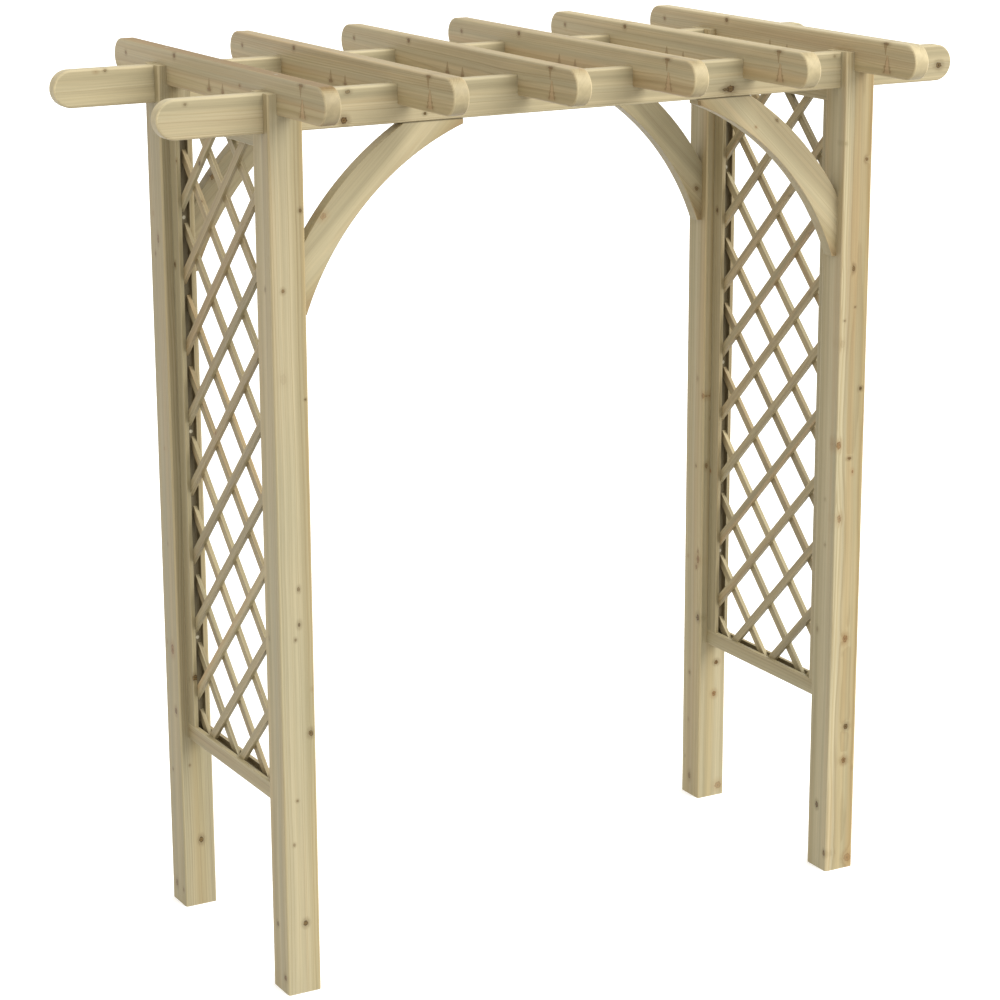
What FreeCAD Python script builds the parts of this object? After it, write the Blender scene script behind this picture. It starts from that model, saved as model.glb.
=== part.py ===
import FreeCAD, Part
import math
import os
import Sketcher
from FreeCAD import Placement, Rotation, Vector

# Timber pergola arch with a lattice panel on each side.
#
# Four square posts carry two long rails, which sit in slots sawn in the post heads. Six rafters
# are notched over the rails. A curved brace stiffens each corner between a post and its rail, and
# a framed diagonal lattice fills each side between the front and the rear post.
#
# Frame: millimetres, +Z up, X along the rails, Y along the rafters with the front at -Y. The
# origin is on the ground, in the middle of the four posts.

SIZES = {
    "post_size": (95, "side of the square posts"),
    "post_height": (2400, "length of the posts"),
    "arch_width": (1835, "over the posts, along the rails"),
    "arch_depth": (785, "over the posts, along the rafters"),
    "rail_length": (2400, "length of the rails"),
    "rail_height": (100, "depth of the rails"),
    "rail_thick": (41, "thickness of the rails and braces"),
    "rafter_length": (1335, "length of the rafters"),
    "rafter_height": (95, "depth of the rafters"),
    "rafter_thick": (45, "thickness of the rafters"),
    "rafter_stand": (42, "how far the rafters stand above the rails"),
    "rafter_count": (6, "number of rafters, the end ones over the posts"),
    "arris": (6, "rounding of the long edges of posts, rails and rafters"),
    "joint_slack": (0.3, "gap on each side of a piece in its slot or notch"),
    "brace_leg": (466, "reach of a brace along the post and along the rail"),
    "brace_blunt": (14, "depth of the square cut at each brace tip"),
    "brace_radius": (765, "radius of the hollow edge of a brace"),
    "brace_width": (86, "width of a brace board between its two curves"),
    "brace_arris": (2, "rounding of the brace edges"),
    "trellis_height": (1791, "height of a lattice panel"),
    "trellis_slack": (0.3, "gap between a lattice panel and each post"),
    "frame_width": (46, "face width of the lattice frame"),
    "frame_thick": (46, "thickness of the lattice frame"),
    "frame_arris": (2, "rounding of the frame's long edges"),
    "groove_depth": (14, "depth of the groove that holds the laths"),
    "lath_width": (24, "width of a lath"),
    "lath_thick": (11, "thickness of a lath"),
    "lath_spacing": (139.4, "from lath to lath, square to their length"),
    "lath_play": (0.2, "gap between a lath layer and its groove wall"),
    "lath_end_gap": (1, "gap between a lath end and the groove floor"),
    "screw_radius": (2.5, "shank radius of every screw"),
    "screw_head_radius": (5, "countersunk head radius of every screw"),
    "screw_gap": (0.1, "gap between a screw and its hole"),
    "rail_screw": (60, "length of the screws through a post cheek into a rail"),
    "rail_screw_pitch": (48, "height between the two rail screws in a post"),
    "rail_screw_stagger": (20, "from a post's middle out to each rail screw"),
    "rafter_screw": (85, "length of the screws through a rafter into a rail"),
    "brace_screw": (80, "length of the screws through a brace tip"),
    "brace_screw_inset": (62, "from a brace tip back to its screw"),
    "brace_screw_cover": (26, "timber left under the head of a brace screw"),
    "trellis_screw": (60, "length of the screws through a stile into a post"),
    "frame_screw": (75, "length of the screws through a frame rail into a stile"),
    "staple_crown": (10, "width of a staple"),
    "staple_wire": (1.2, "thickness of the staple wire"),
    "staple_leg": (18, "length of the staple legs"),
}

UNDER_RAIL = "(sizes.post_height - sizes.rail_height)"
POST_X = "(sizes.arch_width - sizes.post_size) / 2"
POST_Y = "(sizes.arch_depth - sizes.post_size) / 2"
NOTCH_DEPTH = "(sizes.rafter_height - sizes.rafter_stand)"
PANEL_WIDTH = "(sizes.arch_depth - 2 * sizes.post_size - 2 * sizes.trellis_slack)"
PANEL_MIDDLE = "(" + UNDER_RAIL + " - sizes.trellis_height / 2)"
GROOVE_WIDTH = "(2 * sizes.lath_thick + 2 * sizes.lath_play)"

doc = FreeCAD.newDocument("pergola_arch")
sheet = doc.addObject("Spreadsheet::Sheet", "sizes")
for row, (alias, (value, meaning)) in enumerate(SIZES.items(), start=1):
    sheet.set(f"A{row}", meaning)
    sheet.set(f"B{row}", str(value))
    sheet.setAlias(f"B{row}", alias)
doc.recompute()

nodes = []


def size(alias):
    """The value of one driving dimension."""
    return float(sheet.get(alias))


def bind(target, **expressions):
    """Bind properties to the sheet; a double underscore in a name stands for a dot."""
    for path, expression in expressions.items():
        target.setExpression(path.replace("__", "."), expression)


# ---------------------------------------------------------------- sketches and pads


def new_body(name):
    return doc.addObject("PartDesign::Body", name)


def new_sketch(body, name, plane):
    """A sketch on one of the body's own origin planes."""
    sketch = body.newObject("Sketcher::SketchObject", name)
    planes = [item for item in body.Origin.OriginFeatures if item.Role == plane]
    sketch.AttachmentSupport = [(planes[0], "")]
    sketch.MapMode = "FlatFace"
    return sketch


def place_point(sketch, geometry, point, across, up, start_x=1.0, start_y=1.0):
    """Pin a sketch point at two expressions, which replace the two starting distances."""
    for kind, expression, start in (("DistanceX", across, start_x), ("DistanceY", up, start_y)):
        index = sketch.addConstraint(Sketcher.Constraint(kind, -1, 1, geometry, point, start))
        sketch.setExpression(f"Constraints[{index}]", expression)


def rectangle(sketch, left, right, bottom, top):
    """A closed rectangle between four expressions."""
    corners = [Vector(0, 0, 0), Vector(1, 0, 0), Vector(1, 1, 0), Vector(0, 1, 0)]
    first = sketch.GeometryCount
    for side in range(4):
        sketch.addGeometry(Part.LineSegment(corners[side], corners[(side + 1) % 4]), False)
    for side in range(4):
        after = first + (side + 1) % 4
        sketch.addConstraint(Sketcher.Constraint("Coincident", first + side, 2, after, 1))
    for side, kind in enumerate(("Horizontal", "Vertical", "Horizontal", "Vertical")):
        sketch.addConstraint(Sketcher.Constraint(kind, first + side))
    place_point(sketch, first, 1, left, bottom)
    place_point(sketch, first + 2, 1, right, top)


def round_ended_board(sketch, length, height):
    """A board outline, centred on the sketch origin, whose ends are full half circles.

    The two sizes are aliases: the outline starts at its true size, so it stays exactly tangent.
    """
    radius = size(height) / 2
    reach = size(length) / 2 - radius
    up = Vector(0, 0, 1)
    quarter = math.pi / 2
    right_circle = Part.Circle(Vector(reach, 0, 0), up, radius)
    left_circle = Part.Circle(Vector(-reach, 0, 0), up, radius)
    lower_edge = Part.LineSegment(Vector(-reach, -radius, 0), Vector(reach, -radius, 0))
    upper_edge = Part.LineSegment(Vector(reach, radius, 0), Vector(-reach, radius, 0))
    sketch.addGeometry(lower_edge, False)
    sketch.addGeometry(Part.ArcOfCircle(right_circle, -quarter, quarter), False)
    sketch.addGeometry(upper_edge, False)
    sketch.addGeometry(Part.ArcOfCircle(left_circle, quarter, 3 * quarter), False)
    for edge in range(4):
        sketch.addConstraint(Sketcher.Constraint("Tangent", edge, 2, (edge + 1) % 4, 1))
    sketch.addConstraint(Sketcher.Constraint("Equal", 1, 3))
    end_centre = f"(sizes.{length} - sizes.{height}) / 2"
    place_point(sketch, 1, 3, end_centre, "0", reach, 0)
    place_point(sketch, 3, 3, "-" + end_centre, "0", -reach, 0)
    rounding = sketch.addConstraint(Sketcher.Constraint("Radius", 1, radius))
    sketch.setExpression(f"Constraints[{rounding}]", f"sizes.{height} / 2")


def pad(body, sketch, length, middle=True):
    """Pad a sketch by an expression, to both sides of its plane or upwards only."""
    feature = body.newObject("PartDesign::Pad", "pad")
    feature.Profile = sketch
    feature.Midplane = middle
    bind(feature, Length=length)
    sketch.Visibility = False
    doc.recompute()
    return feature


def pocket_through(body, sketch):
    """Cut a sketch right through the body, both ways from its plane."""
    before = body.Shape.Volume
    feature = body.newObject("PartDesign::Pocket", "pocket")
    feature.Profile = sketch
    feature.Midplane = True
    feature.Type = "ThroughAll"
    sketch.Visibility = False
    doc.recompute()
    if body.Shape.Volume >= before:
        raise RuntimeError(f"{feature.Name} cuts nothing from {body.Name}")
    return feature


def round_edges(body, base, radius, chosen):
    """Round the edges of a feature for which the test holds."""
    names = [f"Edge{n}" for n, edge in enumerate(base.Shape.Edges, start=1) if chosen(edge)]
    feature = body.newObject("PartDesign::Fillet", "rounding")
    feature.Base = (base, names)
    bind(feature, Radius=radius)
    doc.recompute()
    return feature


def runs_along(axis):
    """A test for straight edges parallel to one axis, 0 for X, 1 for Y and 2 for Z."""
    def test(edge):
        if edge.Curve.TypeId != "Part::GeomLine":
            return False
        return abs(abs(edge.tangentAt(edge.FirstParameter)[axis]) - 1) < 1e-6
    return test


def lies_across(axis):
    """A test for edges that lie in a plane square to one axis."""
    def test(edge):
        box = edge.BoundBox
        return (box.XLength, box.YLength, box.ZLength)[axis] < 1e-6
    return test


# ---------------------------------------------------------------- screws and staples


def screw_shape(length, gap=0.0, recess=0.0):
    """A countersunk screw from its head's flat face at the origin down along -Z.

    A hole is the same shape grown by the gap, with a recess above the head for the driver.
    """
    shank = size("screw_radius") + gap
    head = size("screw_head_radius") + gap
    taper = head - shank
    point = size("screw_radius") * 2
    down = Vector(0, 0, -1)
    shape = Part.makeCylinder(shank, length - point, Vector(0, 0, 0), down)
    shape = shape.fuse(Part.makeCone(head, shank, taper, Vector(0, 0, 0), down))
    shape = shape.fuse(Part.makeCone(shank, shank / 4, point + gap, Vector(0, 0, point - length), down))
    if recess > 0:
        shape = shape.fuse(Part.makeCylinder(head, recess))
    return shape.removeSplitter()


def loose_group(name, shapes):
    """One object of separate solids, for loose pieces that no single body can hold."""
    group = doc.addObject("Part::Feature", name)
    group.Shape = Part.makeCompound(shapes)
    group.Placement = Placement()
    return group


def screw_group(name, length_alias, places, recess=0.0):
    """Equal screws at (position, way in) places, as a node, and the holes that they need."""
    length = size(length_alias)
    screws = []
    holes = []
    for position, way_in in places:
        turn = Placement(position, Rotation(Vector(0, 0, -1), way_in))
        screw = screw_shape(length)
        screw.Placement = turn
        screws.append(screw)
        hole = screw_shape(length, size("screw_gap"), recess)
        hole.Placement = turn
        holes.append(hole)
    nodes.append(loose_group(name, screws))
    return loose_group(name + "_holes", holes)


def drilled(name, blank, *hole_groups):
    """The finished piece: its blank with the holes of its screws."""
    for number, hole_group in enumerate(hole_groups, start=1):
        cut = doc.addObject("Part::Cut", f"{name}_drilling_{number}")
        cut.Base = blank
        cut.Tool = hole_group
        blank = cut
    blank.Label = name
    nodes.append(blank)
    return blank


SIDES = {"left": -1, "right": 1}
ENDS = {"front": -1, "rear": 1}

post_x = (size("arch_width") - size("post_size")) / 2
post_y = (size("arch_depth") - size("post_size")) / 2
under_rail = size("post_height") - size("rail_height")
panel_middle = under_rail - size("trellis_height") / 2
panel_half_width = (size("arch_depth") - 2 * size("post_size")) / 2 - size("trellis_slack")
panel_half_height = size("trellis_height") / 2
lath_rise = size("lath_spacing") * math.sqrt(2)


def rafter_x(number):
    """Where rafter 1, 2 ... stands; the first and the last are over the posts."""
    return post_x * (2 * (number - 1) / (size("rafter_count") - 1) - 1)


def rail_screw_places():
    """Two in each post head, driven forwards from the rear face, either side of its middle."""
    middle = size("post_height") - size("rail_height") / 2
    for x in (-post_x, post_x):
        for y in (-post_y, post_y):
            for way in (-1, 1):
                across = x + way * size("rail_screw_stagger")
                height = middle + way * size("rail_screw_pitch") / 2
                yield Vector(across, y + size("post_size") / 2, height), Vector(0, -1, 0)


def rafter_screw_places():
    """One down through each rafter into each rail."""
    top = size("post_height") + size("rafter_stand")
    for number in range(1, int(size("rafter_count")) + 1):
        for y in (-post_y, post_y):
            yield Vector(rafter_x(number), y, top), Vector(0, 0, -1)


def brace_screw_places():
    """One up into the rail and one sideways into the post, near the tips of each brace."""
    reach = size("brace_leg") - size("brace_screw_inset")
    cover = size("brace_screw_cover")
    inner_face = post_x - size("post_size") / 2
    for side in SIDES.values():
        for y in (-post_y, post_y):
            yield Vector(side * (inner_face - reach), y, under_rail - cover), Vector(0, 0, 1)
            yield Vector(side * (inner_face - cover), y, under_rail - reach), Vector(side, 0, 0)


def trellis_screw_places():
    """Three through each stile into its post, from the groove, clear of the lath ends."""
    floor = panel_half_width - size("frame_width") + size("groove_depth")
    for x in (-post_x, post_x):
        for end in ENDS.values():
            for step in (-3, 0, 3):
                height = panel_middle + step * lath_rise
                yield Vector(x, end * floor, height), Vector(0, end, 0)


def frame_screw_places():
    """One at each corner of each panel, through the frame rail into the stile's core."""
    core = panel_half_width - (size("frame_width") - size("groove_depth")) / 2
    for x in (-post_x, post_x):
        for y in (-core, core):
            for up in (-1, 1):
                yield Vector(x, y, panel_middle + up * panel_half_height), Vector(0, 0, -up)


recess = size("brace_width")
rail_holes = screw_group("rail_screws", "rail_screw", rail_screw_places())
rafter_holes = screw_group("rafter_screws", "rafter_screw", rafter_screw_places())
brace_holes = screw_group("brace_screws", "brace_screw", brace_screw_places(), recess)
trellis_holes = screw_group("trellis_screws", "trellis_screw", trellis_screw_places())
frame_holes = screw_group("frame_screws", "frame_screw", frame_screw_places())


# ---------------------------------------------------------------- posts, rails and rafters


def make_post(name, side, end):
    """A square post whose head is slotted along X for the rail."""
    body = new_body(name + "_blank")
    section = new_sketch(body, name + "_section", "XY_Plane")
    half = "sizes.post_size / 2"
    rectangle(section, "-" + half, half, "-" + half, half)
    shaft = pad(body, section, "sizes.post_height", middle=False)
    round_edges(body, shaft, "sizes.arris", runs_along(2))
    slot = new_sketch(body, name + "_slot", "YZ_Plane")
    slot_half = "(sizes.rail_thick / 2 + sizes.joint_slack)"
    rectangle(slot, "-" + slot_half, slot_half, UNDER_RAIL, "sizes.post_height + sizes.arris")
    pocket_through(body, slot)
    bind(body, Placement__Base__x=f"{side} * {POST_X}", Placement__Base__y=f"{end} * {POST_Y}")
    drilled(name, body, rail_holes, brace_holes, trellis_holes)


def make_rail(name, end):
    """A round-ended board along X, whose top is level with the post heads."""
    body = new_body(name + "_blank")
    outline = new_sketch(body, name + "_outline", "XZ_Plane")
    round_ended_board(outline, "rail_length", "rail_height")
    board = pad(body, outline, "sizes.rail_thick")
    round_edges(body, board, "sizes.arris", lies_across(1))
    middle = "sizes.post_height - sizes.rail_height / 2"
    bind(body, Placement__Base__y=f"{end} * {POST_Y}", Placement__Base__z=middle)
    drilled(name, body, rail_holes, rafter_holes, brace_holes)


def make_rafter(number):
    """A round-ended board along Y, notched over both rails, or over the whole post heads."""
    name = f"rafter_{number}"
    body = new_body(name + "_blank")
    outline = new_sketch(body, name + "_outline", "YZ_Plane")
    round_ended_board(outline, "rafter_length", "rafter_height")
    board = pad(body, outline, "sizes.rafter_thick")
    round_edges(body, board, "sizes.arris", lies_across(0))
    over_post = number in (1, int(size("rafter_count")))
    seat = "sizes.post_size" if over_post else "sizes.rail_thick"
    half = f"({seat} / 2 + sizes.joint_slack)"
    foot = "-sizes.rafter_height"
    notch_top = f"{NOTCH_DEPTH} - sizes.rafter_height / 2"
    notches = new_sketch(body, name + "_notches", "YZ_Plane")
    for end in (-1, 1):
        centre = f"{end} * {POST_Y}"
        rectangle(notches, f"{centre} - {half}", f"{centre} + {half}", foot, notch_top)
    pocket_through(body, notches)
    share = f"(2 * {number - 1} / (sizes.rafter_count - 1) - 1)"
    level = "sizes.post_height + sizes.rafter_stand - sizes.rafter_height / 2"
    bind(body, Placement__Base__x=f"{POST_X} * {share}", Placement__Base__z=level)
    drilled(name, body, rafter_holes)


for end_name, end in ENDS.items():
    for side_name, side in SIDES.items():
        make_post(f"post_{end_name}_{side_name}", side, end)
for end_name, end in ENDS.items():
    make_rail(f"rail_{end_name}", end)
for number in range(1, int(size("rafter_count")) + 1):
    make_rafter(number)


# ---------------------------------------------------------------- curved braces

# The hollow edge passes through both tips, so its centre lies on the diagonal of the corner.
TIP_SUM = "(sizes.brace_leg + sizes.brace_blunt)"
TIP_SQUARES = "(sizes.brace_leg ^ 2 + sizes.brace_blunt ^ 2 - sizes.brace_radius ^ 2)"
BRACE_CENTRE = f"(({TIP_SUM} + sqrt({TIP_SUM} ^ 2 - 2 * {TIP_SQUARES})) / 2)"


def brace_disc(name, radius):
    """A disc as thick as the brace, on the centre of its curves, with its axis along Y."""
    disc = doc.addObject("Part::Cylinder", name)
    disc.Placement = Placement(Vector(), Rotation(Vector(1, 0, 0), 90))
    bind(disc, Radius=radius, Height="sizes.rail_thick", Placement__Base__y="sizes.rail_thick / 2")
    bind(disc, Placement__Base__x=BRACE_CENTRE, Placement__Base__z="-" + BRACE_CENTRE)
    return disc


def make_brace(name, side, end):
    """A board between two equal-centred arcs, cut square by the post face and the rail."""
    outer = brace_disc(name + "_outer_curve", "sizes.brace_radius + sizes.brace_width")
    inner = brace_disc(name + "_inner_curve", "sizes.brace_radius")
    ring = doc.addObject("Part::Cut", name + "_ring")
    ring.Base = outer
    ring.Tool = inner
    corner = doc.addObject("Part::Box", name + "_corner")
    bind(corner, Length="sizes.brace_leg", Width="sizes.rail_thick", Height="sizes.brace_leg")
    bind(corner, Placement__Base__y="-sizes.rail_thick / 2", Placement__Base__z="-sizes.brace_leg")
    board = doc.addObject("Part::Common", name + "_board")
    board.Base = ring
    board.Tool = corner
    doc.recompute()
    eased = doc.addObject("Part::Fillet", name + "_eased")
    eased.Base = board
    radius = size("brace_arris")
    is_face_edge = lies_across(1)
    edges = [n for n, edge in enumerate(board.Shape.Edges, start=1)
             if is_face_edge(edge) and edge.Curve.TypeId == "Part::GeomCircle"]
    eased.Edges = [(n, radius, radius) for n in edges]
    if side > 0:
        eased.Placement = Placement(Vector(), Rotation(Vector(0, 0, 1), 180))
    inner_face = f"({POST_X} - sizes.post_size / 2)"
    bind(eased, Placement__Base__x=f"{side} * {inner_face}", Placement__Base__y=f"{end} * {POST_Y}")
    bind(eased, Placement__Base__z=UNDER_RAIL)
    drilled(name, eased, brace_holes)


for end_name, end in ENDS.items():
    for side_name, side in SIDES.items():
        make_brace(f"brace_{end_name}_{side_name}", side, end)


# ---------------------------------------------------------------- lattice panels


def make_stile(name, side, end):
    """An upright of a panel's frame, grooved on its inner edge, with a stub tenon at each end."""
    body = new_body(name + "_blank")
    clear = "(sizes.trellis_height - 2 * sizes.frame_width)"
    thick_half = "sizes.frame_thick / 2"
    section = new_sketch(body, name + "_section", "XY_Plane")
    rectangle(section, "-" + thick_half, thick_half, "0", "sizes.frame_width")
    shaft = pad(body, section, clear)
    round_edges(body, shaft, "sizes.frame_arris", runs_along(2))
    groove = new_sketch(body, name + "_groove", "XY_Plane")
    groove_half = f"{GROOVE_WIDTH} / 2"
    floor = "sizes.frame_width - sizes.groove_depth"
    rectangle(groove, "-" + groove_half, groove_half, floor, "sizes.frame_width + 1")
    pocket_through(body, groove)
    tenon = new_sketch(body, name + "_tenon", "XY_Plane")
    rectangle(tenon, "-sizes.lath_thick", "sizes.lath_thick", "sizes.frame_arris", floor)
    pad(body, tenon, clear + " + 2 * (sizes.groove_depth - sizes.lath_end_gap)")
    if end > 0:
        body.Placement = Placement(Vector(), Rotation(Vector(0, 0, 1), 180))
    outer_edge = f"{end} * {PANEL_WIDTH} / 2"
    bind(body, Placement__Base__x=f"{side} * {POST_X}", Placement__Base__y=outer_edge)
    bind(body, Placement__Base__z=PANEL_MIDDLE)
    drilled(name, body, trellis_holes, frame_holes)


def make_frame_rail(name, side, up):
    """A top or bottom rail of a panel's frame, as long as the panel is wide, grooved inwards."""
    body = new_body(name + "_blank")
    thick_half = "sizes.frame_thick / 2"
    section = new_sketch(body, name + "_section", "XZ_Plane")
    rectangle(section, "-" + thick_half, thick_half, "0", "sizes.frame_width")
    bar = pad(body, section, PANEL_WIDTH)
    round_edges(body, bar, "sizes.frame_arris", runs_along(1))
    groove = new_sketch(body, name + "_groove", "XZ_Plane")
    groove_half = f"{GROOVE_WIDTH} / 2"
    floor = "sizes.frame_width - sizes.groove_depth"
    rectangle(groove, "-" + groove_half, groove_half, floor, "sizes.frame_width + 1")
    pocket_through(body, groove)
    if up > 0:
        body.Placement = Placement(Vector(), Rotation(Vector(0, 1, 0), 180))
    outer_edge = f"{PANEL_MIDDLE} + {up} * sizes.trellis_height / 2"
    bind(body, Placement__Base__x=f"{side} * {POST_X}", Placement__Base__z=outer_edge)
    drilled(name, body, frame_holes)


def lath_trim(name, side):
    """The space inside a panel's grooves, which cuts every lath to length."""
    trim = doc.addObject("Part::Box", name)
    inset = "(sizes.frame_width - sizes.groove_depth + sizes.lath_end_gap)"
    width = f"({PANEL_WIDTH} - 2 * {inset})"
    height = f"(sizes.trellis_height - 2 * {inset})"
    bind(trim, Length="sizes.frame_thick", Width=width, Height=height)
    bind(trim, Placement__Base__x=f"{side} * {POST_X} - sizes.frame_thick / 2")
    bind(trim, Placement__Base__y=f"-{width} / 2", Placement__Base__z=f"{PANEL_MIDDLE} - {height} / 2")
    return trim


def make_lath_pair(name, side, layer, first, trim):
    """Two neighbouring laths of one layer: the outer layer rises to the front, the inner falls."""
    reach = "(sizes.trellis_height + sizes.arch_depth)"
    strips = []
    for number in (first, first + 1):
        strip = doc.addObject("Part::Box", f"{name}_strip_{number - first + 1}")
        bind(strip, Length="sizes.lath_thick", Width="sizes.lath_width", Height=reach)
        bind(strip, Placement__Base__x="-sizes.lath_thick / 2", Placement__Base__z=f"-{reach} / 2")
        across = f"({number} + 0.5) * sizes.lath_spacing - sizes.lath_width / 2"
        bind(strip, Placement__Base__y=across)
        strips.append(strip)
    blanks = doc.addObject("Part::MultiFuse", name + "_strips")
    blanks.Shapes = strips
    blanks.Placement = Placement(Vector(), Rotation(Vector(1, 0, 0), -45 * layer))
    centre = f"{side} * {POST_X} + {layer} * sizes.lath_thick / 2"
    bind(blanks, Placement__Base__x=centre, Placement__Base__z=PANEL_MIDDLE)
    cut_to_length = doc.addObject("Part::Common", name + "_blank")
    cut_to_length.Base = blanks
    cut_to_length.Tool = trim
    return cut_to_length


def make_staples(name, side, laths_each_way):
    """A staple at every crossing, its crown on the inner layer and its legs through both."""
    crown = size("staple_crown")
    wire = size("staple_wire")
    leg = size("staple_leg")
    face = side * post_x + size("lath_thick")
    clear_half_width = panel_half_width - size("frame_width")
    clear_half_height = panel_half_height - size("frame_width")
    staples = []
    for outer in range(-laths_each_way, laths_each_way):
        for inner in range(-laths_each_way, laths_each_way):
            y = (outer - inner) * lath_rise / 2
            z = (outer + inner + 1) * lath_rise / 2
            if abs(y) > clear_half_width or abs(z) > clear_half_height:
                continue
            bridge = Part.makeBox(wire, crown, wire, Vector(face, y - crown / 2, panel_middle + z))
            for offset in (-crown / 2, crown / 2 - wire):
                corner = Vector(face - leg, y + offset, panel_middle + z)
                bridge = bridge.fuse(Part.makeBox(leg, wire, wire, corner))
            staples.append(bridge.removeSplitter())
    group = loose_group(name, staples)
    nodes.append(group)
    return group


def make_panel(side_name, side):
    """One framed lattice between the front and the rear post of a side."""
    panel = f"trellis_{side_name}"
    for end_name, end in ENDS.items():
        make_stile(f"{panel}_stile_{end_name}", side, end)
    for level, up in (("bottom", -1), ("top", 1)):
        make_frame_rail(f"{panel}_rail_{level}", side, up)
    clear = panel_half_width + panel_half_height - 2 * size("frame_width")
    laths_each_way = math.floor(clear / lath_rise + 0.5)
    staples = make_staples(f"{panel}_staples", side, laths_each_way)
    trim = lath_trim(f"{panel}_trim", side)
    for layer_name, layer in (("outer", -1), ("inner", 1)):
        for pair, first in enumerate(range(-laths_each_way, laths_each_way, 2), start=1):
            name = f"{panel}_{layer_name}_laths_{pair}"
            drilled(name, make_lath_pair(name, side, layer, first, trim), staples)


for side_name, side in SIDES.items():
    make_panel(side_name, side)


# ---------------------------------------------------------------- checks and export

doc.recompute()
for item in doc.Objects:
    if {"Invalid", "Error"} & set(item.State):
        raise RuntimeError(f"{item.Label} did not compute: {item.State}")
os.makedirs("parts", exist_ok=True)
for node in nodes:
    if node.Shape.isNull() or not node.Shape.isValid() or not node.Shape.Solids:
        raise RuntimeError(f"{node.Label} has no valid shape")
    node.Shape.exportStep(f"parts/{node.Label}.step")
print(f"{len(nodes)} nodes, {sum(len(node.Shape.Solids) for node in nodes)} solids")
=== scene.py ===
"""The looks of the timber pergola arch: treated softwood on every board, zinc plated screws and staples.

Every wooden piece gets its own material. Its figure is solid: growth rings run round a pith that lies
along the piece, so faces show straight grain and sawn ends show arcs. The timber plugs over the brace
screws are made here, and every other piece is a CAD node. Lengths are in metres.
"""

import math

import bmesh
import bpy
from mathutils import Matrix, Vector


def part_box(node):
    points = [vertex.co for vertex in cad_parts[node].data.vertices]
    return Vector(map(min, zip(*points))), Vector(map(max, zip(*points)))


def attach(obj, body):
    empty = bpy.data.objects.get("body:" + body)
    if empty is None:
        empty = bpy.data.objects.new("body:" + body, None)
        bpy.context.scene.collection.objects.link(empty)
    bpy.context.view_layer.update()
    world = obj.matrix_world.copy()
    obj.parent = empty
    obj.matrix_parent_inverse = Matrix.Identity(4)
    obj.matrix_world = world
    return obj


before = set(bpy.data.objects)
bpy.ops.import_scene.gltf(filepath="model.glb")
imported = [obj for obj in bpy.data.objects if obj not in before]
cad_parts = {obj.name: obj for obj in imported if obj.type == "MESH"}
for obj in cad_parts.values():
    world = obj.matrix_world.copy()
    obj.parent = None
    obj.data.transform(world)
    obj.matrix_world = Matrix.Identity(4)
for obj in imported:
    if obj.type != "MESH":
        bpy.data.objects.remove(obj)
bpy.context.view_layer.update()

# Which way each upright side of a piece looks.
SIDES = {
    "front": Vector((0, -1, 0)),
    "rear": Vector((0, 1, 0)),
    "left": Vector((-1, 0, 0)),
    "right": Vector((1, 0, 0)),
}
ALONG_X = Vector((1, 0, 0))
ALONG_Y = Vector((0, 1, 0))
ALONG_Z = Vector((0, 0, 1))

# Along the laths of the lattice, which rise or fall towards the rear.
RISING = Vector((0, 1, 1)).normalized()
FALLING = Vector((0, -1, 1)).normalized()

# Colours of the wood. The third from last is a painted shade where a brace's top meets the rail. The
# last two are painted shade too, under the roof and inside the lattice grooves, and multiply the colour
# of the wood they lie on.
EARLYWOOD = (0.464, 0.396, 0.241)
LATEWOOD = (0.330, 0.257, 0.135)
GREEN_TINT = (0.350, 0.324, 0.205)
WARM_TINT = (0.420, 0.285, 0.140)
SAWN_END = (0.510, 0.425, 0.250)
CREVICE_SHADE = (0.060, 0.045, 0.025)
PAINTED_ROOF_SHADE = (0.980, 0.970, 0.965)
GROOVE_SHADE = (0.300, 0.270, 0.220)

# Colours of a round knot, from its middle to its rim, and of a branch cut along its length.
KNOT_BROWN = [
    (0.00, (0.028, 0.017, 0.005)),
    (0.20, (0.060, 0.036, 0.009)),
    (0.42, (0.175, 0.112, 0.032)),
    (0.60, (0.110, 0.066, 0.018)),
    (0.80, (0.032, 0.019, 0.005)),
    (1.00, (0.095, 0.060, 0.019)),
]
KNOT_WARM = [
    (0.00, (0.090, 0.040, 0.012)),
    (0.28, (0.230, 0.110, 0.034)),
    (0.55, (0.330, 0.175, 0.062)),
    (0.78, (0.160, 0.078, 0.024)),
    (0.90, (0.260, 0.138, 0.048)),
    (1.00, (0.340, 0.200, 0.082)),
]
SPIKE_FILL = (0.480, 0.320, 0.175)
SPIKE_DARK = (0.230, 0.145, 0.062)
SPIKE_EDGE = (0.215, 0.130, 0.055)

# How far knots run into the wood: where they start to fade and where they are gone.
KNOT_DEPTH = (0.030, 0.039)
SPIKE_DEPTH = (0.012, 0.018)

# Between these heights the wood goes from its own tone to a painted shade, slightly darker and warmer
# towards the roof above it.
ROOF_SHADE_HEIGHTS = (0.6, 2.3)

# The lattice as the CAD has it; a lath's size is its thickness and its width.
GROOVE_HALF_WIDTH = 0.0112
LATH_SPACING = 0.1394
LATH_SIZE = (0.011, 0.024)

# How a band of wood differs from the rest of its board: paler sapwood, heartwood, reaction wood.
PALE = (1.10, 1.10, 1.10)
CREAM = (1.04, 1.05, 1.07)
PLAIN = (1.00, 1.00, 1.00)
STRAW = (0.97, 0.95, 0.89)
TAN = (0.94, 0.89, 0.80)
OCHRE = (0.97, 0.87, 0.70)
OLIVE = (0.87, 0.87, 0.86)
BROWN = (0.80, 0.74, 0.64)
RUST = (0.86, 0.73, 0.61)
ROSE = (1.02, 0.97, 0.93)
AMBER = (0.52, 0.39, 0.22)

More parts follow.
